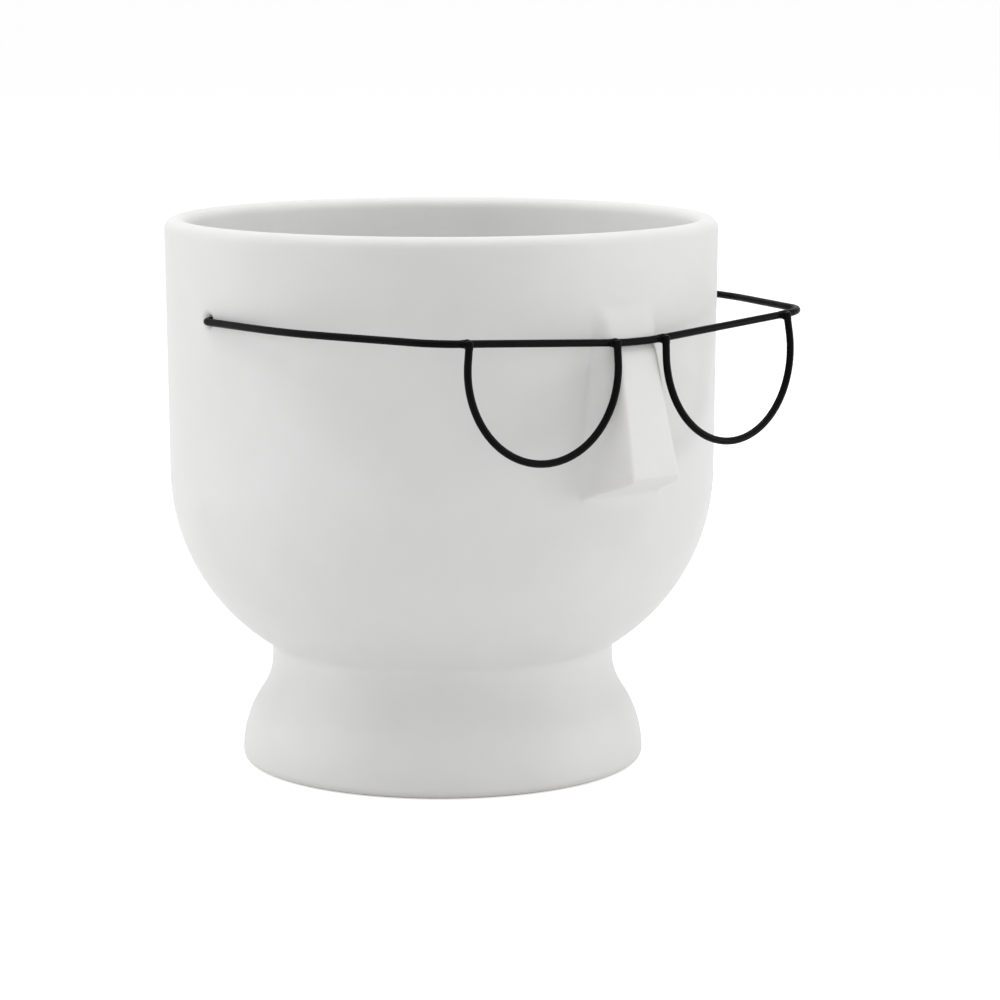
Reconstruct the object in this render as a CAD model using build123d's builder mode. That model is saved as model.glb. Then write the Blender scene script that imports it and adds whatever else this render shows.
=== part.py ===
from build123d import *
from math import acos, atan, cos, hypot, radians, sin, sqrt, tan
import os

# Head planter: a slip-cast ceramic head with a wedge nose, wearing wire glasses that pivot in its sides.
# Millimetres, +Z up, the face looks along -Y, the origin is on the table under the middle of the pot.

# Pot, outside
pot_height = 199.0
lip_radius = 100.0
lip_flare = 0.8
bowl_curve = 74.7
neck_radius = 62.6
neck_height = 38.5
neck_straight = 2.0
neck_crease = 5.0
foot_spread = 11.1
foot_curve_share = 0.61
foot_edge = 3.0

# Pot, inside and underneath
wall = 8.0
floor_height = 10.0
floor_corner_share = 0.5
foot_ring = 9.0
foot_recess = 2.5

# Places on the face, as shares of its height from the shoulder up to the lip
hole_share = 0.65
nose_top_share = 0.71
nose_tip_share = 0.081
nose_base_share = 0.013

# Nose
nose_reach = 17.0
nose_ledge_reach = 5.9
nose_ledge_slope = 0.8
nose_ledge_half = 2.5
nose_top_proud = 0.6
nose_fade = 3.0
nose_top_width = 20.4
nose_bridge_width = 18.8
nose_low_width = 26.2
nose_top_flare = 3.5
nose_bridge_flare = 4.0
nose_low_flare = 5.4
nose_edge_round = 3.2
nose_foot_round = 5.0
nose_round_share = 0.33
nose_tip_round = 2.0
nose_skirt = 8.0
nose_tuck = 1.0
nose_wall = 13.0
nose_dip_round = 4.5

# Holes for the glasses
hole_behind_middle = 5.7
hole_clearance = 0.4
hole_mouth_round = 2.8

# Glasses
wire_diameter = 2.6
wire_end_round = 0.5
swing_gap = 0.5
seat_gap = 0.4
leg_inside = 5.0
elbow_curve = 4.0
temple_curve = 120.0
temple_bend_room = 16.0
temple_inset = 17.1
corner_ahead = 1.1
corner_curve = 13.0
bridge_dip = 4.7
bridge_half = 6.5
bridge_curve = 110.0
lens_nose_gap = 1.6
lens_from_corner = 12.0
lens_drop = 8.4
lens_toe = 4.5
lens_lean = 3.6
lens_end_rise = 0.8
weld_set_down = 0.2
weld_radius = 2.0

os.makedirs("parts", exist_ok=True)

# Centres of the arcs of the pot's side. Inside and outside share them, so the wall is even.
lip_height = pot_height - wall / 2
shoulder_radius = lip_radius - lip_flare
foot_radius = neck_radius + foot_spread
neck_rise = neck_height - foot_edge
flare_curves = (neck_rise**2 + foot_spread**2) / (2 * foot_spread)
foot_curve = flare_curves * foot_curve_share
neck_curve = flare_curves - foot_curve
bowl_middle = shoulder_radius - bowl_curve
crease_middle = neck_radius + neck_crease
crease_height = neck_height + neck_straight
crease_drop = sqrt((bowl_curve + neck_crease) ** 2 - (crease_middle - bowl_middle) ** 2)
shoulder_height = crease_height + crease_drop
foot_centre = Vector(foot_radius - foot_curve, foot_edge)
neck_centre = Vector(neck_radius + neck_curve, neck_height)
crease_centre = Vector(crease_middle, crease_height)
bowl_centre = Vector(bowl_middle, shoulder_height)

# The corner of the floor inside takes a share of the low arc of the side that stands above the floor
flare_height = foot_edge + neck_rise * (foot_curve - wall) / flare_curves
floor_corner = floor_corner_share * (flare_height - floor_height)


def pot_side(inset, start_height):
    """Draws the pot's side from start_height up to the lip, moved inwards by inset."""
    foot_roll = foot_curve - inset
    rise = start_height - foot_edge
    run = sqrt(foot_roll**2 - rise**2)
    start = foot_centre + Vector(run, rise)
    flare = foot_centre + (neck_centre - foot_centre).normalized() * foot_roll
    neck_low = Vector(neck_radius - inset, neck_height)
    neck_top = Vector(neck_radius - inset, crease_centre.Y)
    bowl_low = bowl_centre + (crease_centre - bowl_centre).normalized() * (bowl_curve - inset)
    shoulder = Vector(shoulder_radius - inset, shoulder_height)
    lip = Vector(lip_radius - inset, lip_height)
    foot_line = TangentArc(start, flare, tangent=(-rise, run))
    TangentArc(flare, neck_low, tangent=foot_line % 1)
    Line(neck_low, neck_top)
    crease_line = TangentArc(neck_top, bowl_low, tangent=(0, 1))
    TangentArc(bowl_low, shoulder, tangent=crease_line % 1)
    Line(shoulder, lip)
    return start, lip


def wall_radius(height):
    """Outside radius of the pot's bowl and wall at a height."""
    if height < shoulder_height:
        return bowl_centre.X + sqrt(bowl_curve**2 - (shoulder_height - height) ** 2)
    draft = (lip_radius - shoulder_radius) / (lip_height - shoulder_height)
    return shoulder_radius + draft * (height - shoulder_height)


# Heights on the face. The underside of the nose runs back from its tip to the wall's shoulder.
face_height = pot_height - shoulder_height
hole_radius = wire_diameter / 2 + hole_clearance
hole_height = shoulder_height + hole_share * face_height
bridge_height = hole_height - bridge_dip
nose_top = shoulder_height + nose_top_share * face_height
nose_brow = bridge_height + nose_ledge_half
nose_bridge = bridge_height - nose_ledge_half
nose_tip = shoulder_height + nose_tip_share * face_height
nose_base = shoulder_height + nose_base_share * face_height

# The nose starts low, steps out at a ledge that carries the glasses, and runs straight to its tip
ridge_top = wall_radius(nose_top) + nose_top_proud
ridge_bridge = wall_radius(nose_bridge) + nose_ledge_reach
ridge_brow = ridge_bridge - nose_ledge_slope * (nose_brow - nose_bridge)
ridge_tip = shoulder_radius + nose_reach


def buried(height):
    """Reach of a slice of the nose that has sunk just under the pot's surface."""
    return wall_radius(height) - nose_tuck


def nose_section(height, reach, width, flare):
    """Makes one level slice of the nose: a flat front, flaring sides and a skirt sunk in the wall."""
    front_half = width / 2
    foot_half = front_half + flare
    on_wall = sqrt(wall_radius(height) ** 2 - foot_half**2)
    foot_reach = min(on_wall, reach - nose_tuck)
    side = hypot(flare, reach - foot_reach)
    with BuildSketch(Plane.XY.offset(height)) as section:
        Polygon(
            (-foot_half - nose_skirt, wall / 2 - foot_reach),
            (-foot_half, -foot_reach),
            (-front_half, -reach),
            (front_half, -reach),
            (foot_half, -foot_reach),
            (foot_half + nose_skirt, wall / 2 - foot_reach),
            align=None,
        )
        fillet(section.vertices().group_by(Axis.Y)[1], min(nose_foot_round, side * nose_round_share))
        fillet(section.vertices().group_by(Axis.Y)[0], min(nose_edge_round, side * nose_round_share))
    return section.sketch


def dip_section(height, reach, width):
    """Makes one level slice of the dip that the casting leaves inside, behind the nose."""
    back = wall_radius(height) - 2 * wall
    with BuildSketch(Plane.XY.offset(height)) as section:
        Polygon((-width, -back), (0, -reach), (width, -back), align=None)
        fillet(section.vertices().group_by(Axis.Y)[0], nose_dip_round)
    return section.sketch


# Nose: a wedge that grows out of the wall, cut off underneath from a rounded tip back to the wall
tip_point = Vector(-ridge_tip, nose_tip)
up_ridge = (Vector(-ridge_bridge, nose_bridge) - tip_point).normalized()
under_way = (Vector(-buried(nose_base), nose_base) - tip_point).normalized()
tip_middle = (up_ridge + under_way).normalized()
tip_half_angle = acos(tip_middle.dot(up_ridge))
tip_start = tip_point + up_ridge * (nose_tip_round / tan(tip_half_angle))
tip_crest = tip_point + tip_middle * (nose_tip_round / sin(tip_half_angle) - nose_tip_round)
tip_end = tip_point + under_way * (nose_tip_round / tan(tip_half_angle))
nose_low = nose_base - nose_skirt
low_point = tip_point - up_ridge * ((nose_tip - nose_low) / up_ridge.Y)
with BuildPart() as nose:
    fade = nose_section(nose_top + nose_fade, buried(nose_top + nose_fade), nose_top_width, nose_top_flare)
    top = nose_section(nose_top, ridge_top, nose_top_width, nose_top_flare)
    brow = nose_section(nose_brow, ridge_brow, nose_top_width, nose_top_flare)
    bridge = nose_section(nose_bridge, ridge_bridge, nose_bridge_width, nose_bridge_flare)
    low = nose_section(nose_low, -low_point.X, nose_low_width, nose_low_flare)
    slices = [fade, top, brow, bridge, low]
    for upper, lower in zip(slices, slices[1:]):
        loft([upper, lower], ruled=True)
    with BuildSketch(Plane.YZ):
        with BuildLine():
            behind = tip_end + under_way * lip_radius
            ahead = Vector(low_point.X - nose_skirt, tip_start.Y)
            Polyline(tip_start, tip_crest, tip_end, behind, Vector(ahead.X, behind.Y), ahead, close=True)
        make_face()
    extrude(amount=lip_radius, both=True, mode=Mode.SUBTRACT)

# Pot: one hollow casting of head, nose, neck and foot
with BuildPart() as pot:
    with BuildSketch(Plane.YZ) as pot_profile:
        with BuildLine():
            edge_low = (foot_radius - foot_edge, 0)
            ring_inner = foot_radius - foot_edge - foot_ring
            foot_top, lip_outer = pot_side(0, foot_edge)
            floor_rim, lip_inner = pot_side(wall, floor_height)
            TangentArc(foot_top, edge_low, tangent=(0, -1))
            TangentArc(lip_outer, lip_inner, tangent=(0, 1))
            Polyline(
                edge_low,
                (ring_inner, 0),
                (ring_inner - foot_recess, foot_recess),
                (0, foot_recess),
                (0, floor_height),
                floor_rim,
            )
        make_face()
        fillet(pot_profile.vertices().sort_by_distance(floor_rim)[0], floor_corner)
    revolve(axis=Axis.Z)

    # One straight bore through both sides carries the ends of the glasses
    with Locations((0, hole_behind_middle, hole_height)):
        Cylinder(hole_radius, 2 * lip_radius + wall, rotation=(0, 90, 0), mode=Mode.SUBTRACT)
    for side in (-1, 1):
        mouth = (side * lip_radius, hole_behind_middle, hole_height)
        fillet(pot.edges().filter_by(GeomType.BSPLINE).sort_by_distance(mouth)[0], hole_mouth_round)

    add(nose.part)

    # The casting is a little thicker behind the nose, so the inside only dips there
    dip_top = dip_section(nose_top, buried(nose_top) - wall, nose_bridge_width)
    dip_tip = dip_section(nose_tip + wall / 2, ridge_tip - nose_wall, nose_low_width)
    dip_base = dip_section(nose_base + wall / 2, buried(nose_base) - wall, nose_low_width)
    loft([dip_top, dip_tip], ruled=True, mode=Mode.SUBTRACT)
    loft([dip_tip, dip_base], ruled=True, mode=Mode.SUBTRACT)
pot.part.label = "ceramic_pot"
export_step(pot.part, "parts/ceramic_pot.step")

# Route of the main wire of the glasses, right half: hole, temple, corner and the bar down to the bridge
wire_radius = wire_diameter / 2
hole_wall = sqrt((wall_radius(hole_height) - wall) ** 2 - hole_behind_middle**2)
temple_half = lip_radius + swing_gap + wire_radius
lip_distance = hypot(pot_height - hole_height, hole_behind_middle)
ledge_middle = (ridge_brow + ridge_bridge) / 2
bridge_reach = ledge_middle + (wire_radius + seat_gap) / cos(atan(nose_ledge_slope))
leg_end = Vector(hole_wall - leg_inside, hole_behind_middle, hole_height)
elbow = Vector(temple_half, hole_behind_middle, hole_height)
temple_bend = Vector(temple_half, hole_behind_middle - lip_distance - temple_bend_room, hole_height)
corner = Vector(temple_half - temple_inset, -lip_radius - corner_ahead, hole_height)
bar_end = Vector(bridge_half, -bridge_reach, bridge_height)
right_half = [bar_end, corner, temple_bend, elbow, leg_end]
left_half = [Vector(-p.X, p.Y, p.Z) for p in reversed(right_half)]
half_bends = [bridge_curve, corner_curve, temple_curve, elbow_curve]

# Main wire: temples and brow bar bent from one length, its ends turned in to hook into the holes
with BuildPart() as main_wire:
    with BuildLine() as main_route:
        FilletPolyline(*left_half, *right_half, radius=half_bends[::-1] + half_bends)
    with BuildSketch(Plane(main_route.line @ 0, z_dir=main_route.line % 0)):
        Circle(wire_radius)
    sweep(path=main_route.line)
    fillet(main_wire.faces().filter_by(GeomType.PLANE).edges(), wire_end_round)
main_wire.part.label = "main_wire"
export_step(main_wire.part, "parts/main_wire.step")

# Each rim is a U hung in front of the bar, in a plane along the bar that leans out at the bottom
along = (corner - bar_end).normalized()
front = Vector(along.Y, -along.X, 0).normalized()
down = along.cross(front)
hang = down * cos(radians(lens_lean)) + front * sin(radians(lens_lean))
lap = front * (wire_diameter - weld_set_down)
lens_inner = nose_bridge_width / 2 + lens_nose_gap
inner_joint = bar_end + along * ((lens_inner - bridge_half) / along.X)
outer_joint = corner - along * (lens_from_corner / along.X)
lens_top = (inner_joint + outer_joint) / 2
joint_half = (outer_joint - inner_joint).length / 2
lens_plane = Plane(lens_top + lap + hang * lens_drop, x_dir=along, z_dir=hang.cross(along))

# Below, the rim is an arc; above, its two legs run straight up to the bar and toe in a little
toe = radians(lens_toe)
lens_curve = (joint_half + lens_drop * tan(toe)) * cos(toe)
arc_half = lens_curve * cos(toe)
arc_rise = lens_curve * sin(toe)
leg_half = joint_half - lens_end_rise * tan(toe)
leg_rise = lens_drop + lens_end_rise

with BuildPart() as right_rim:
    with BuildLine(lens_plane) as rim_route:
        Line((-leg_half, leg_rise), (-arc_half, arc_rise))
        CenterArc((0, 0), lens_curve, 180 - lens_toe, 180 + 2 * lens_toe)
        Line((arc_half, arc_rise), (leg_half, leg_rise))
    with BuildSketch(Plane(rim_route.line @ 0, z_dir=rim_route.line % 0)):
        Circle(wire_radius)
    sweep(path=rim_route.line)
    fillet(right_rim.faces().filter_by(GeomType.PLANE).edges(), wire_end_round)
    add(main_wire.part, mode=Mode.SUBTRACT)
right_rim.part.label = "right_rim_wire"
export_step(right_rim.part, "parts/right_rim_wire.step")

with BuildPart() as left_rim:
    mirror(right_rim.part, about=Plane.YZ)
left_rim.part.label = "left_rim_wire"
export_step(left_rim.part, "parts/left_rim_wire.step")

# Weld beads: a small blob of filler at each of the four places where a rim laps the bar
with BuildPart() as welds:
    for joint in (inner_joint, outer_joint):
        with Locations(Plane(joint + lap / 2, x_dir=along + down, z_dir=front)):
            Sphere(weld_radius)
    add([main_wire.part, right_rim.part], mode=Mode.SUBTRACT)
    mirror(about=Plane.YZ)
welds.part.label = "rim_welds"
export_step(welds.part, "parts/rim_welds.step")
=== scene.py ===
from math import acos, asin, atan2, cos, degrees, pi, radians, sin, sqrt, tan

import bpy
import numpy as np
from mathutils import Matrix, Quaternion, Vector


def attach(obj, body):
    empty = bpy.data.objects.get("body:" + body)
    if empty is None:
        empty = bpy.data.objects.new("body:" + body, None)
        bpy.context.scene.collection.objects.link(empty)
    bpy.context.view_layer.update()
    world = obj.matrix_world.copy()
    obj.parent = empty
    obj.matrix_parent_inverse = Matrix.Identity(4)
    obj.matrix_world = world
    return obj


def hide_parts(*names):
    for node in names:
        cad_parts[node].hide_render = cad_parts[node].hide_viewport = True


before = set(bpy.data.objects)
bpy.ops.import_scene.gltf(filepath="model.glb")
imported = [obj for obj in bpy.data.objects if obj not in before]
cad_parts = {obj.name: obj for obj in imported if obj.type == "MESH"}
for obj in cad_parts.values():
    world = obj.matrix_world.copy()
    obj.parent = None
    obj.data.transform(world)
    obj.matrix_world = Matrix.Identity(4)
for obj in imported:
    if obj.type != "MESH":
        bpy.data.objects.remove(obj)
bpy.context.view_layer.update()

# The pot is a hollow slip casting in white clay: bowl, nose, neck and flared foot come from one mould.
# It wears a matt white glaze inside and out. Only its standing ring is wiped bare before firing.
# Sizes are in millimetres, as it is drawn on the bench, and become metres when the mesh is made.
METRE = 0.001
lip_round = 4.0
lip_centre = (96.0, 195.0)
wall = 8.0
shoulder_radius = 99.2
wall_draft = 0.8 / 87.459
bowl_centre = (24.5, 107.541)
bowl_curve = 74.7
crease_centre = (67.6, 40.5)
crease_curve = 5.0
neck_centre = (86.904, 38.5)
neck_curve = 24.304
foot_centre = (35.686, 3.0)
foot_curve = 38.014
foot_edge_centre = (70.7, 3.0)
foot_edge = 3.0
foot_recess = 2.5
floor_height = 10.0
floor_corner = 5.05
hole_behind = 5.7
hole_height = 166.989
hole_radius = 1.7
hole_mouth = 2.8
hole_back_round = 0.6


def wall_radius(z):
    """Outside radius of the bowl and the wall at height z."""
    below = np.minimum(z - bowl_centre[1], 0)
    bowl = bowl_centre[0] + np.sqrt(bowl_curve**2 - below**2)
    return np.where(z < bowl_centre[1], bowl, shoulder_radius + wall_draft * (z - bowl_centre[1]))


def smooth_min(a, b, k):
    """The lower of a and b, with the corner between them rounded over k."""
    h = np.clip(1 - np.abs(a - b) / k, 0, 1)
    return np.minimum(a, b) - h * h * k / 4


def smooth_max(a, b, k):
    """The higher of a and b, with the hollow between them filled over k."""
    return -smooth_min(-a, -b, k)


# Heights of the nose, from its foot under the wall's skin up to where it fades into the brow
nose_low = 100.73
nose_base = 108.73
nose_tip = 114.95
nose_bridge = 159.79
nose_brow = 164.79
nose_top = 172.48

# Its half width and the flare of its sides, at four of those heights
nose_heights = (nose_low, nose_bridge, nose_brow, nose_top)
nose_half = (13.1, 9.4, 9.9, 9.2)
nose_flare = (5.4, 4.0, 4.0, 3.0)

# Its reach from the pot's axis, and how that changes with height; the glasses rest on the ledge
ridge_base = 98.2
ridge_tip = 116.15
ridge_bridge = 105.58
ridge_brow = 101.95
ridge_top = 100.1
ridge_slope = (ridge_tip - ridge_bridge) / (nose_bridge - nose_tip)
ledge_slope = (ridge_bridge - ridge_brow) / (nose_brow - nose_bridge)
brow_slope = (ridge_brow - ridge_top) / (nose_top - nose_brow)
under_slope = (ridge_tip - ridge_base) / (nose_tip - nose_base)
fade_slope = 0.53

# How softly its forms run into each other; edges and foot soften with how far the nose stands out
ledge_soft = 1.6
tip_soft = 5.0
fade_soft = 1.6
least_proud = 0.6
edge_share, edge_least, edge_most = 0.6, 0.6, 8.0
root_share, root_least, root_most = 0.35, 1.0, 5.0


def face_reach(x, z):
    """How far the outside of the pot reaches forwards at x and z, with the nose raised on the wall."""
    plain = np.sqrt(np.maximum(wall_radius(z) ** 2 - x**2, 0))
    half = np.interp(z, nose_heights, nose_half)
    flare = np.interp(z, nose_heights, nose_flare)
    below = nose_bridge - z
    ridge = ridge_bridge + smooth_min(below * ridge_slope, below * ledge_slope, ledge_soft)
    ridge = smooth_max(ridge, ridge_top + brow_slope * (nose_top - z), ledge_soft)
    proud = np.maximum(ridge - np.sqrt(wall_radius(z) ** 2 - half**2), least_proud)
    side = (half + flare - np.abs(x)) * proud / flare
    under = ridge_tip - (nose_tip - z) * under_slope
    fade = ridge_top - (z - nose_top) * fade_slope
    raised = smooth_min(ridge - plain, side, np.clip(edge_share * proud, edge_least, edge_most))
    raised = smooth_min(raised, under - plain, tip_soft)
    raised = smooth_min(raised, fade - plain, fade_soft)
    return plain + smooth_max(raised, 0.0, np.clip(root_share * proud, root_least, root_most))


# The casting is a little thicker behind the nose, so the hollow only dips there
dip_heights = (nose_base + wall / 2, nose_tip + wall / 2, nose_top)
dip_depth = (90.2, 103.2, 90.8)
dip_run = (26.2, 26.2, 18.8)
dip_round = 4.0


def inside_reach(x, z):
    """How far the hollow of the pot reaches forwards at x and z, with the dip behind the nose."""
    plain = np.sqrt(np.maximum((wall_radius(z) - wall) ** 2 - x**2, 0))
    depth = np.interp(z, dip_heights, dip_depth)
    run = np.interp(z, dip_heights, dip_run)
    soft_x = np.sqrt(x**2 + dip_round**2) - dip_round
    dip = depth - soft_x * (depth - wall_radius(z) + 2 * wall) / run
    return smooth_max(plain, dip, dip_round)


def arc_rows(centre, radius, start, end, steps):
    """Points (radius, height) of an arc of the pot's outline, its first point left out."""
    angles = np.radians(np.linspace(start, end, steps + 1)[1:])
    return [(centre[0] + radius * cos(t), centre[1] + radius * sin(t)) for t in angles]


# The outline is walked from the middle of the underside round the lip to the middle of the floor inside
flare_angle = degrees(atan2(neck_centre[1] - foot_centre[1], neck_centre[0] - foot_centre[0]))
crease_angle = degrees(atan2(bowl_centre[1] - crease_centre[1], bowl_centre[0] - crease_centre[0]))
bowl_angle = crease_angle - 180
nose_row = 0.8
window_rows = 9
nose_rows = hole_height + nose_row * np.arange(-86, 17)
face_start = degrees(asin((nose_rows[0] - bowl_centre[1]) / bowl_curve))
corner_z = floor_height + floor_corner
corner_reach = foot_curve - wall - floor_corner
corner_r = foot_centre[0] + sqrt(corner_reach**2 - (corner_z - foot_centre[1]) ** 2)
corner_angle = degrees(atan2(corner_z - foot_centre[1], corner_r - foot_centre[0]))

under = [(r, foot_recess) for r in (4.0, 16.0, 32.0, 48.0, 57.6, 58.9)]
under += [(59.7, 2.25), (61.0, 0.95), (61.5, 0.35), (62.2, 0.05), (63.4, 0.0), (66.5, 0.0), (69.6, 0.0)]
under += [(foot_edge_centre[0], 0.0)]
outside = arc_rows(foot_edge_centre, foot_edge, -90, 0, 8)
outside += arc_rows(foot_centre, foot_curve, 0, flare_angle, 16)
outside += arc_rows(neck_centre, neck_curve, 180 + flare_angle, 180, 12)
outside += arc_rows(crease_centre, crease_curve, 180, crease_angle, 10)
outside += arc_rows(bowl_centre, bowl_curve, bowl_angle, face_start, 26)
outside += [(float(wall_radius(z)), z) for z in nose_rows[1:]]
outside += [(float(wall_radius(z)), z) for z in np.linspace(nose_rows[-1], lip_centre[1], 7)[1:]]
lip = arc_rows(lip_centre, lip_round, 0, 180, 16)
window_z = hole_height + nose_row * np.arange(window_rows, -window_rows - 1, -1)
inner_z = list(np.linspace(lip_centre[1], window_z[0], 9)[1:-1]) + list(window_z)
inner_z += list(np.linspace(window_z[-1], bowl_centre[1], 28)[1:])
inside = [(float(wall_radius(z)) - wall, z) for z in inner_z]
inside += arc_rows(bowl_centre, bowl_curve - wall, 0, bowl_angle, 26)
inside += arc_rows(crease_centre, crease_curve + wall, crease_angle, 180, 8)
inside += arc_rows(neck_centre, neck_curve + wall, 180, 180 + flare_angle, 10)
inside += arc_rows((corner_r, corner_z), floor_corner, corner_angle, -90, 10)
inside += [(r, floor_height) for r in (48.0, 36.0, 24.0, 12.0, 4.0)]
outline = under + outside + lip + inside
row_at = np.array(outline)
first_inside = len(under) + len(outside) + len(lip)

# Columns stand closer together across the nose, and are set out from the holes on the two sides
hole_reach = float(wall_radius(np.array(hole_height)))
hole_angle = 90 + degrees(asin(hole_behind / hole_reach))
column_step = 1.5
window_columns = 3
front_columns = np.linspace(0, 13, 38)
side_columns = hole_angle + column_step * np.arange(-50, 58)
fan_columns = np.linspace(13, side_columns[0], 6)[1:-1]
half_columns = np.concatenate([front_columns[1:], fan_columns, side_columns])
columns = np.radians(np.concatenate([-half_columns[::-1], [0.0], half_columns]))
n_rows, n_columns = len(outline), len(columns)

radius_grid = np.repeat(row_at[:, :1], n_columns, axis=1)
height_grid = np.repeat(row_at[:, 1:], n_columns, axis=1)
angle_grid = np.repeat(columns[None, :], n_rows, axis=0)
x_grid = radius_grid * np.sin(angle_grid)
y_grid = -radius_grid * np.cos(angle_grid)
facing = np.abs(angle_grid) < radians(30)
row_number = np.arange(n_rows)[:, None]
on_face = facing & (row_number >= len(under) + 20) & (row_number < len(under) + len(outside))
on_face &= (height_grid > nose_rows[0]) & (height_grid < nose_rows[-1])
on_inside = facing & (row_number >= first_inside) & (height_grid > 99) & (height_grid < 180)
y_grid[on_face] = -face_reach(x_grid[on_face], height_grid[on_face])
y_grid[on_inside] = -inside_reach(x_grid[on_inside], height_grid[on_inside])

# Glaze runs thin over the lip, the foot's edge and the edges of the nose; the standing ring is bare
thin_glaze = np.zeros((n_rows, n_columns))
lip_rows = slice(len(under) + len(outside), first_inside)
thin_glaze[lip_rows] = np.sin(np.linspace(0, pi, len(lip) + 1)[1:])[:, None] ** 2
thin_glaze[len(under):len(under) + 8] = np.linspace(1, 0, 8)[:, None]
crest = 2.0
crest_gain = 2.0
neighbours = ((crest, 0), (-crest, 0), (0, crest), (0, -crest))
around = sum(face_reach(x_grid + dx, height_grid + dz) for dx, dz in neighbours)
sharpness = np.clip((-y_grid - around / len(neighbours)) * crest_gain, 0, 1)
thin_glaze[on_face] = sharpness[on_face]
bare_clay = np.zeros((n_rows, n_columns))
bare_clay[7:len(under) + 3] = 1.0

points = np.stack([x_grid, y_grid, height_grid], axis=2).reshape(-1, 3)
faces = []
windows = []
outer_hole_row = int(np.argmin(np.abs(row_at[:first_inside, 1] - hole_height)))
inner_hole_row = first_inside + int(np.argmin(np.abs(row_at[first_inside:, 1] - hole_height)))
for side in (-1, 1):
    hole_column = int(np.argmin(np.abs(columns - side * radians(hole_angle))))
    for hole_row in (outer_hole_row, inner_hole_row):
        rows = range(hole_row - window_rows, hole_row + window_rows)
        across = range(hole_column - window_columns, hole_column + window_columns)
        window = {(i, j) for i in rows for j in across}
        windows.append((side, hole_row, hole_column, window))
cut = set().union(*(w[3] for w in windows))
for i in range(n_rows - 1):
    for j in range(n_columns):
        if (i, j) not in cut:
            k = (j + 1) % n_columns
            here, above = i * n_columns, (i + 1) * n_columns
            faces.append((here + j, here + k, above + k, above + j))
under_pole, floor_pole = len(points), len(points) + 1
extra = [(0.0, 0.0, foot_recess), (0.0, 0.0, floor_height)]
for j in range(n_columns):
    k = (j + 1) % n_columns
    last = (n_rows - 1) * n_columns
    faces.append((under_pole, k, j))
    faces.append((floor_pole, last + j, last + k))


def window_edge(row, column, rows_up):
    """The grid points round a hole's window, anticlockwise as seen from outside the pot."""
    up = 1 if rows_up else -1
    low, high = row - up * window_rows, row + up * window_rows
    left, right = column - window_columns, column + window_columns
    edge = [(low, j) for j in range(left, right)]
    edge += [(i, right) for i in range(low, high, up)]
    edge += [(high, j) for j in range(right, left, -1)]
    edge += [(i, left) for i in range(high, low, -up)]
    return [i * n_columns + j for i, j in edge]


def hole_ring(side, angles, radius, depth):
    """One ring of points round the hole's axis, depth below the outside wall, or on the inside wall."""
    across = radius * np.cos(angles)
    z = hole_height + radius * np.sin(angles)
    y = hole_behind + side * across
    shell = wall_radius(z) - (wall if depth is None else 0)
    x = np.sqrt(shell**2 - y**2) - (depth or 0)
    return [(side * a, b, c) for a, b, c in zip(x, y, z)]


mouth_angles = np.radians(np.linspace(0, 90, 8))
mouth_rings = [(hole_radius + hole_mouth * (1 - sin(t)), hole_mouth * (1 - cos(t))) for t in mouth_angles]
back_rings = [(hole_radius, wall - hole_back_round), (hole_radius + 0.18, wall - 0.2)]
for side in (-1, 1):
    hole_column = int(np.argmin(np.abs(columns - side * radians(hole_angle))))
    outer_edge = window_edge(outer_hole_row, hole_column, True)
    inner_edge = window_edge(inner_hole_row, hole_column, False)
    corner = points[outer_edge]
    edge_angles = np.unwrap(np.arctan2(corner[:, 2] - hole_height, side * (corner[:, 1] - hole_behind)))
    even_angles = edge_angles[0] + 2 * pi * np.arange(len(outer_edge)) / len(outer_edge)
    half_way = (edge_angles + even_angles) / 2
    rings = [(half_way, 6.0, 0.0)]
    rings += [(even_angles, r, d) for r, d in mouth_rings + back_rings]
    rings += [(even_angles, hole_radius + hole_back_round, None), (half_way, 5.4, None)]
    loops = [outer_edge]
    for angles, radius, depth in rings:
        first = len(points) + len(extra)
        extra += hole_ring(side, angles, radius, depth)
        loops.append(list(range(first, first + len(angles))))
    loops.append(inner_edge)
    for a, b in zip(loops[:-1], loops[1:]):
        n = len(a)
        faces += [(a[k], a[(k + 1) % n], b[(k + 1) % n], b[k]) for k in range(n)]

all_points = np.vstack([points, np.array(extra)]) * METRE
used = np.zeros(len(all_points), bool)
used[np.unique(np.concatenate([np.array(f) for f in faces]))] = True
new_number = np.cumsum(used) - 1
padding = np.zeros(len(extra))
thin_values = np.concatenate([thin_glaze.ravel(), padding])[used]
bare_values = np.concatenate([bare_clay.ravel(), padding])[used]
bare_values[new_number[under_pole]] = 0.0


def new_piece(name, vertices, polygons):
    """Makes a smooth-shaded mesh object and puts it in the scene."""
    mesh = bpy.data.meshes.new(name)
    corners = [tuple(int(i) for i in p) for p in polygons]
    mesh.from_pydata([tuple(v) for v in vertices], [], corners)
    mesh.validate()
    mesh.shade_smooth()
    piece = bpy.data.objects.new(name, mesh)
    bpy.context.scene.collection.objects.link(piece)
    return piece


pot = new_piece("pot_body", all_points[used], [[new_number[i] for i in f] for f in faces])
for name, values in (("thin_glaze", thin_values), ("bare_clay", bare_values)):
    layer = pot.data.attributes.new(name, "FLOAT", "POINT")
    layer.data.foreach_set("value", values.astype(np.float32))


def start_material(name):
    """A new node material, its Principled shader and a texture position in the object's own metres."""
    material = bpy.data.materials.new(name)
    material.use_nodes = True
    nodes = material.node_tree.nodes
    shader = nodes["Principled BSDF"]
    place = nodes.new("ShaderNodeTexCoord")
    return material, nodes, material.node_tree.links, shader, place.outputs["Object"]


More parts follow.
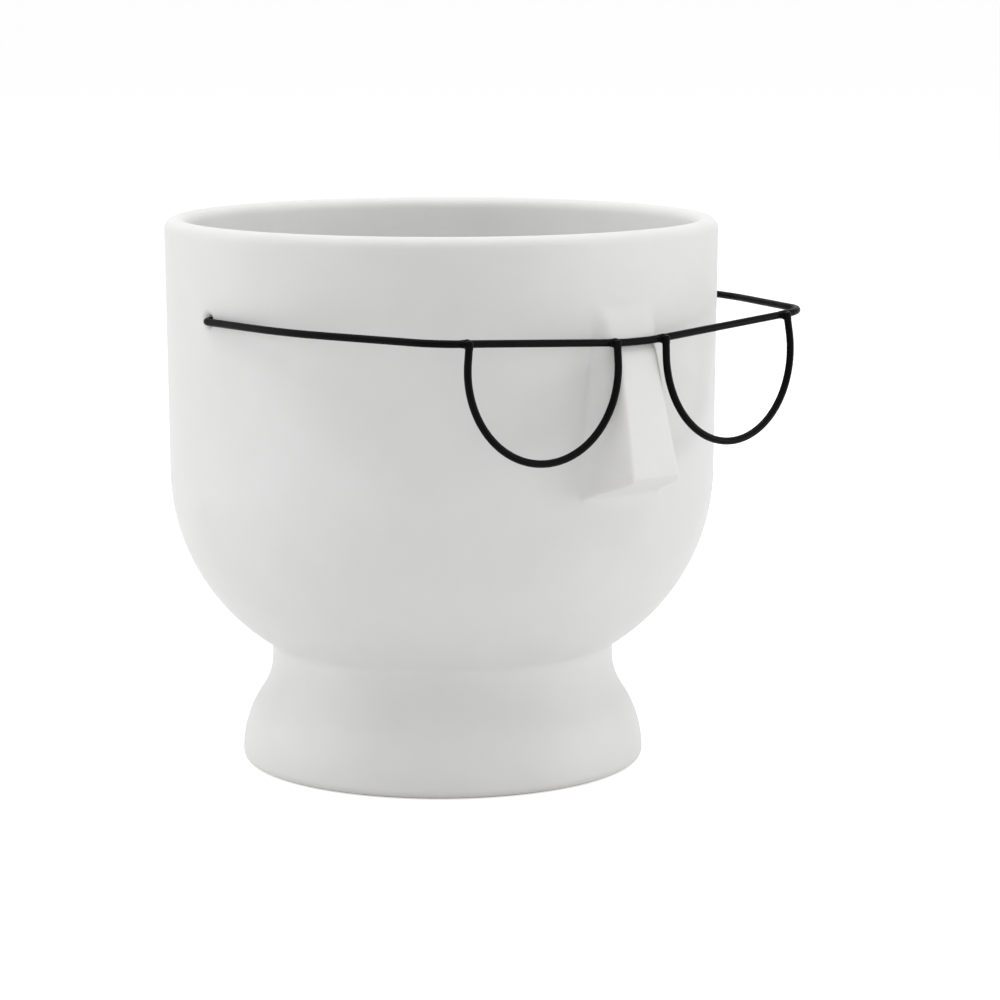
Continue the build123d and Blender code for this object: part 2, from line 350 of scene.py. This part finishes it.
def add_noise(nodes, links, place, scale, detail, rough=0.5):
    """A noise texture laid over the object's own position."""
    noise = nodes.new("ShaderNodeTexNoise")
    noise.inputs["Scale"].default_value = scale
    noise.inputs["Detail"].default_value = detail
    noise.inputs["Roughness"].default_value = rough
    links.new(place, noise.inputs["Vector"])
    return noise.outputs["Fac"]


def add_ramp(nodes, links, factor, stops):
    """A colour ramp through the given (position, colour) stops."""
    ramp = nodes.new("ShaderNodeValToRGB")
    while len(ramp.color_ramp.elements) < len(stops):
        ramp.color_ramp.elements.new(0.5)
    for element, (position, colour) in zip(ramp.color_ramp.elements, stops):
        element.position = position
        element.color = (*colour, 1.0)
    links.new(factor, ramp.inputs["Fac"])
    return ramp.outputs["Color"]


def add_range(nodes, links, factor, low, high, to_low, to_high):
    """Maps a factor from one range to another."""
    remap = nodes.new("ShaderNodeMapRange")
    for socket, value in zip(("From Min", "From Max", "To Min", "To Max"), (low, high, to_low, to_high)):
        remap.inputs[socket].default_value = value
    links.new(factor, remap.inputs["Value"])
    return remap.outputs["Result"]


def add_mix(nodes, links, factor, a, b):
    """Mixes two colours by a factor; b may be a plain colour."""
    mix = nodes.new("ShaderNodeMix")
    mix.data_type = "RGBA"
    links.new(factor, mix.inputs["Factor"])
    links.new(a, mix.inputs[6])
    if isinstance(b, tuple):
        mix.inputs[7].default_value = (*b, 1.0)
    else:
        links.new(b, mix.inputs[7])
    return mix.outputs[2]


def add_bump(nodes, links, height, strength, distance, below=None):
    """A bump of the given depth in metres, on top of another bump where there is one."""
    bump = nodes.new("ShaderNodeBump")
    bump.inputs["Strength"].default_value = strength
    bump.inputs["Distance"].default_value = distance
    links.new(height, bump.inputs["Height"])
    if below is not None:
        links.new(below, bump.inputs["Normal"])
    return bump.outputs["Normal"]


def glaze_material():
    """Matt white glaze: a soft uneven tone, fine pinholes, faint orange peel, and bare clay on the ring."""
    material, nodes, links, shader, place = start_material("matt_white_glaze")
    cloud = add_noise(nodes, links, place, 22.0, 4.0)
    tone = add_ramp(nodes, links, cloud, ((0.30, (0.800, 0.799, 0.793)), (0.70, (0.850, 0.850, 0.846))))
    specks = add_noise(nodes, links, place, 700.0, 2.0)
    pinholes = add_range(nodes, links, specks, 0.72, 0.80, 0.0, 1.0)
    tone = add_mix(nodes, links, pinholes, tone, (0.78, 0.775, 0.765))
    edges = nodes.new("ShaderNodeAttribute")
    edges.attribute_name = "thin_glaze"
    worn = add_noise(nodes, links, place, 160.0, 3.0)
    worn_edges = nodes.new("ShaderNodeMath")
    worn_edges.operation = "MULTIPLY"
    links.new(edges.outputs["Fac"], worn_edges.inputs[0])
    links.new(add_range(nodes, links, worn, 0.35, 0.70, 0.0, 0.6), worn_edges.inputs[1])
    tone = add_mix(nodes, links, worn_edges.outputs["Value"], tone, (0.82, 0.80, 0.765))
    bare = nodes.new("ShaderNodeAttribute")
    bare.attribute_name = "bare_clay"
    grain = add_noise(nodes, links, place, 420.0, 5.0)
    clay = add_ramp(nodes, links, grain, ((0.35, (0.60, 0.56, 0.50)), (0.65, (0.72, 0.68, 0.61))))
    colour = add_mix(nodes, links, bare.outputs["Fac"], tone, clay)
    links.new(colour, shader.inputs["Base Color"])
    satin = add_range(nodes, links, cloud, 0.30, 0.70, 0.50, 0.60)
    roughness = nodes.new("ShaderNodeMath")
    roughness.operation = "MULTIPLY_ADD"
    links.new(bare.outputs["Fac"], roughness.inputs[0])
    roughness.inputs[1].default_value = 0.3
    links.new(satin, roughness.inputs[2])
    links.new(roughness.outputs["Value"], shader.inputs["Roughness"])
    ripple = add_bump(nodes, links, add_noise(nodes, links, place, 30.0, 2.0), 0.25, 0.0012)
    peel = add_bump(nodes, links, add_noise(nodes, links, place, 330.0, 3.0), 0.25, 0.00018, ripple)
    pits = add_bump(nodes, links, pinholes, -0.2, 0.00008, peel)
    links.new(pits, shader.inputs["Normal"])
    shader.inputs["Specular IOR Level"].default_value = 0.35
    return material


pot.data.materials.append(glaze_material())
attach(pot, "pot")
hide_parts("ceramic_pot")

# The brow bar and both temples are one length of steel wire, bent over a former and coated satin black.
# Its two ends are turned in and sprung into the holes in the sides of the head, where they turn.
wire_radius = 1.3
wire_end_round = 0.5
wire_sides = 24
bridge = Vector((6.5, -105.755, 162.289))
brow_corner = Vector((84.7, -101.1, 166.989))
temple_bend = Vector((101.8, -42.814, 166.989))
elbow = Vector((101.8, 5.7, 166.989))
leg_end = Vector((86.567, 5.7, 166.989))
right_half = [bridge, brow_corner, temple_bend, elbow, leg_end]
right_bends = [110.0, 13.0, 120.0, 4.0]
left_half = [Vector((-p.x, p.y, p.z)) for p in reversed(right_half)]


def bent_route(corners, bends):
    """Points along a wire that runs straight between corners and is bent round each at its own radius."""
    route = [corners[0]]
    for before, at, after, bend in zip(corners[:-2], corners[1:-1], corners[2:], bends):
        back = (before - at).normalized()
        on = (after - at).normalized()
        half = acos(max(-1.0, min(1.0, back.dot(on)))) / 2
        centre = at + (back + on).normalized() * (bend / sin(half))
        start = at + back * (bend / tan(half))
        axis = back.cross(on)
        turn = pi - 2 * half
        steps = max(6, int(turn / radians(2.5)))
        for k in range(steps + 1):
            route.append(centre + Quaternion(axis, -turn * k / steps) @ (start - centre))
    route.append(corners[-1])
    return route


def wire_mesh(route, radius, swell=None):
    """Vertices and faces of a round wire along a route, its cut ends slightly rounded."""
    along = [(b - a).normalized() for a, b in zip(route[:-1], route[1:])]
    tangents = [along[0]] + [(a + b).normalized() for a, b in zip(along[:-1], along[1:])] + [along[-1]]
    across = tangents[0].orthogonal().normalized()
    stations = []
    for k, (point, tangent) in enumerate(zip(route, tangents)):
        if k:
            across = tangents[k - 1].rotation_difference(tangent) @ across
        thickness = radius if swell is None else swell[k]
        stations.append((point, across.copy(), tangent.cross(across), thickness))
    ends = np.radians(np.linspace(0, 90, 5))[1:]
    rounding = wire_end_round
    first, last = stations[0], stations[-1]
    head, tail = [], []
    for t in ends:
        inset = rounding * (1 - sin(t))
        thinner = rounding * (1 - cos(t))
        head.insert(0, (first[0] + tangents[0] * inset, first[1], first[2], first[3] - thinner))
        tail.append((last[0] - tangents[-1] * inset, last[1], last[2], last[3] - thinner))
    first_in = (first[0] + tangents[0] * rounding, *first[1:])
    last_in = (last[0] - tangents[-1] * rounding, *last[1:])
    rings = head + [first_in] + stations[1:-1] + [last_in] + tail
    vertices = []
    for point, a, b, r in rings:
        for k in range(wire_sides):
            t = 2 * pi * k / wire_sides
            vertices.append((point + a * (r * cos(t)) + b * (r * sin(t))) * METRE)
    polygons = []
    for i in range(len(rings) - 1):
        for k in range(wire_sides):
            n = (k + 1) % wire_sides
            a, b = i * wire_sides, (i + 1) * wire_sides
            polygons.append((a + k, a + n, b + n, b + k))
    end = (len(rings) - 1) * wire_sides
    polygons.append(tuple(range(wire_sides - 1, -1, -1)))
    polygons.append(tuple(range(end, end + wire_sides)))
    return vertices, polygons


def coat_material():
    """Satin black coating: a nearly black skin with a fine dry texture, dulled unevenly by handling."""
    material, nodes, links, shader, place = start_material("satin_black_coat")
    cloud = add_noise(nodes, links, place, 55.0, 3.0)
    dark, worn = (0.0016, 0.0016, 0.0018), (0.0034, 0.0034, 0.0036)
    colour = add_ramp(nodes, links, cloud, ((0.30, dark), (0.70, worn)))
    links.new(colour, shader.inputs["Base Color"])
    rough = add_noise(nodes, links, place, 130.0, 4.0)
    links.new(add_range(nodes, links, rough, 0.30, 0.70, 0.30, 0.44), shader.inputs["Roughness"])
    skin = add_bump(nodes, links, add_noise(nodes, links, place, 2600.0, 2.0), 0.3, 0.00003)
    hammer = add_bump(nodes, links, add_noise(nodes, links, place, 240.0, 2.0), 0.25, 0.00012, skin)
    links.new(hammer, shader.inputs["Normal"])
    shader.inputs["Specular IOR Level"].default_value = 0.04
    return material


black_coat = coat_material()
main_route = bent_route(left_half + right_half, right_bends[::-1] + right_bends)
brow_and_temples = new_piece("brow_and_temples", *wire_mesh(main_route, wire_radius))
brow_and_temples.data.materials.append(black_coat)
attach(brow_and_temples, "glasses")
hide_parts("main_wire")

# Each rim is a U of the same wire, hung on the front of the brow bar with its two ends lapped on it.
# The pair are bent on one former, so the left one is the right one seen in a mirror.
rim_middle = 41.85
rim_curve = 31.524
rim_drop = 8.4
rim_toe = radians(4.5)
rim_lean = radians(3.6)
rim_end_rise = 0.8
lap_set_down = 0.2
bar_way = (brow_corner - bridge).normalized()
bar_front = Vector((bar_way.y, -bar_way.x, 0)).normalized()
hang = bar_way.cross(bar_front) * cos(rim_lean) + bar_front * sin(rim_lean)
lap = bar_front * (2 * wire_radius - lap_set_down)
rim_top = bridge + bar_way * ((rim_middle - bridge.x) / bar_way.x)
rim_centre = rim_top + lap + hang * rim_drop
arc_half = rim_curve * cos(rim_toe)
arc_rise = rim_curve * sin(rim_toe)
joint_half = arc_half - (rim_drop - arc_rise) * tan(rim_toe)
leg_half = joint_half - rim_end_rise * tan(rim_toe)


def on_rim(across, rise):
    """A point of the rim's own plane."""
    return rim_centre + bar_way * across - hang * rise


rim_route = [on_rim(-leg_half, rim_drop + rim_end_rise)]
for t in np.linspace(pi - rim_toe, 2 * pi + rim_toe, 73):
    rim_route.append(on_rim(rim_curve * cos(t), rim_curve * sin(t)))
rim_route.append(on_rim(leg_half, rim_drop + rim_end_rise))
left_route = [Vector((-p.x, p.y, p.z)) for p in rim_route]
both_rims = (("right_rim", "right_rim_wire", rim_route), ("left_rim", "left_rim_wire", left_route))
for name, node, route in both_rims:
    rim = new_piece(name, *wire_mesh(route, wire_radius))
    rim.data.materials.append(black_coat)
    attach(rim, "glasses")
    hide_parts(node)

# Four weld beads hold the rims to the bar. Weld metal wets both wires, so each bead is a soft saddle
# that fills the corners of the lap, and the coating laid over it rounds it further.
weld_reach = 4.0
weld_swell = 0.16
weld_sink = 0.12
weld_core = 1.75
weld_grid = 0.00017
inner_joint = rim_top - bar_way * joint_half
outer_joint = rim_top + bar_way * joint_half
leg_top = rim_drop + rim_end_rise
inner_leg = (on_rim(-arc_half, arc_rise) - on_rim(-leg_half, leg_top)).normalized()
outer_leg = (on_rim(arc_half, arc_rise) - on_rim(leg_half, leg_top)).normalized()


def sleeve(steps):
    """Radius of a weld sleeve along a wire, sunk into the wire at its ends."""
    return [wire_radius - weld_sink + (weld_swell + weld_sink) * cos(pi / 2 * s) ** 2 for s in steps]


def weld_lump(joint, leg):
    """Two swollen sleeves, one on the bar and one on the rim's end, with a core between them."""
    steps = np.linspace(-1, 1, 17)
    bar_route = [joint + bar_way * (weld_reach * s) for s in steps]
    steps_down = np.linspace(-0.28, 1, 17)
    leg_route = [joint + lap + leg * (weld_reach * s) for s in steps_down]
    vertices, polygons = wire_mesh(bar_route, wire_radius, sleeve(steps))
    more, more_polygons = wire_mesh(leg_route, wire_radius, sleeve(steps_down))
    polygons += [tuple(i + len(vertices) for i in p) for p in more_polygons]
    vertices += more
    core = (joint + lap / 2) * METRE
    count = len(vertices)
    rings = 10
    for i in range(rings + 1):
        t = pi * (i + 0.02) / (rings + 0.04)
        for k in range(wire_sides):
            u = 2 * pi * k / wire_sides
            ball = Vector((sin(t) * cos(u), sin(t) * sin(u), cos(t)))
            vertices.append(core + ball * (weld_core * METRE))
    for i in range(rings):
        for k in range(wire_sides):
            n = (k + 1) % wire_sides
            a, b = count + i * wire_sides, count + (i + 1) * wire_sides
            polygons.append((a + k, b + k, b + n, a + n))
    polygons.append(tuple(range(count, count + wire_sides)))
    last = count + rings * wire_sides
    polygons.append(tuple(range(last + wire_sides - 1, last - 1, -1)))
    return vertices, polygons


weld_vertices, weld_polygons = [], []
for joint, leg in ((inner_joint, inner_leg), (outer_joint, outer_leg)):
    lump = new_piece("weld_lump", *weld_lump(joint, leg))
    remesh = lump.modifiers.new("flow", "REMESH")
    remesh.mode = "VOXEL"
    remesh.voxel_size = weld_grid
    soften = lump.modifiers.new("soften", "SMOOTH")
    soften.factor = 0.5
    soften.iterations = 10
    bpy.context.view_layer.update()
    flowed = bpy.data.meshes.new_from_object(lump.evaluated_get(bpy.context.evaluated_depsgraph_get()))
    for mirrored in (1, -1):
        first = len(weld_vertices)
        weld_vertices += [Vector((v.co.x * mirrored, v.co.y, v.co.z)) for v in flowed.vertices]
        weld_polygons += [[first + i for i in list(p.vertices)[::mirrored]] for p in flowed.polygons]
    bpy.data.objects.remove(lump)
    bpy.data.meshes.remove(flowed)
weld_beads = new_piece("weld_beads", weld_vertices, weld_polygons)
weld_beads.data.materials.append(black_coat)
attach(weld_beads, "glasses")
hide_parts("rim_welds")

# The setting is a plain white sweep under a wide overhead softbox, with three small soft lamps round it.
# The floor keeps the pot's shadow and shows as white where the shadow doesn't reach.
floor_size = 30.0
floor_level = -0.0002
floor_sides = ((-1, -1), (1, -1), (1, 1), (-1, 1))
floor_corners = [(x * floor_size, y * floor_size, floor_level) for x, y in floor_sides]
floor = new_piece("floor", floor_corners, [(0, 1, 2, 3)])


def seen_directly(nodes, links):
    """1 for rays that show the background: from the camera, or by way of a shine or glass."""
    path = nodes.new("ShaderNodeLightPath")
    total = path.outputs["Is Camera Ray"]
    for other in ("Is Glossy Ray", "Is Transmission Ray"):
        larger = nodes.new("ShaderNodeMath")
        larger.operation = "MAXIMUM"
        links.new(total, larger.inputs[0])
        links.new(path.outputs[other], larger.inputs[1])
        total = larger.outputs["Value"]
    return total


floor_paint = bpy.data.materials.new("white_sweep")
floor_paint.use_nodes = True
paint_nodes, paint_links = floor_paint.node_tree.nodes, floor_paint.node_tree.links
paint = paint_nodes["Principled BSDF"]
paint.inputs["Base Color"].default_value = (0.80, 0.80, 0.80, 1.0)
paint.inputs["Roughness"].default_value = 0.9
paint.inputs["Specular IOR Level"].default_value = 0.0
paint.inputs["Emission Color"].default_value = (1.0, 1.0, 1.0, 1.0)
glow = add_range(paint_nodes, paint_links, seen_directly(paint_nodes, paint_links), 0.0, 1.0, 0.0, 0.66)
paint_links.new(glow, paint.inputs["Emission Strength"])
floor.data.materials.append(floor_paint)

scene = bpy.context.scene
scene.view_settings.view_transform = "Standard"
world = bpy.data.worlds.new("studio")
world.use_nodes = True
scene.world = world
sky_nodes, sky_links = world.node_tree.nodes, world.node_tree.links
sky = sky_nodes["Background"]
sky.inputs["Color"].default_value = (1.0, 1.0, 1.0, 1.0)
sky_links.new(add_range(sky_nodes, sky_links, seen_directly(sky_nodes, sky_links), 0.0, 1.0, 0.41, 1.0),
              sky.inputs["Strength"])

camera_place = Vector((-0.7728, -0.9543, 0.2911))
camera_way = Vector((0.6346, 0.7566, -0.1580))
target = Vector((0.0, 0.0, 0.1))
view_back = Vector((camera_place.x, camera_place.y, 0)).normalized()
view_right = view_back.cross(Vector((0, 0, -1)))


def soft_lamp(name, right, towards, up, size, power):
    """A broad square lamp, placed to the right of, towards and above the pot as the camera sees it."""
    lamp = bpy.data.lights.new(name, "AREA")
    lamp.shape = "SQUARE"
    lamp.size = size
    lamp.energy = power
    stand = bpy.data.objects.new(name, lamp)
    stand.location = target + view_right * right + view_back * towards + Vector((0, 0, up))
    stand.rotation_euler = (target - stand.location).to_track_quat("-Z", "Y").to_euler()
    scene.collection.objects.link(stand)


soft_lamp("left_lamp", -1.5, -0.1, 0.35, 1.0, 6.4)
soft_lamp("right_lamp", 1.5, 0.1, 0.05, 0.8, 7.2)
soft_lamp("front_lamp", 0.0, 1.5, 0.1, 0.8, 1.4)
soft_lamp("overhead_lamp", 0.0, 0.0, 1.8, 2.6, 30.0)

camera = bpy.data.cameras.new("camera")
camera.sensor_width = 36.0
camera.lens = 122.0
camera.clip_end = 100.0
camera_stand = bpy.data.objects.new("camera", camera)
camera_stand.location = camera_place
camera_stand.rotation_euler = camera_way.to_track_quat("-Z", "Y").to_euler()
scene.collection.objects.link(camera_stand)
scene.camera = camera_stand
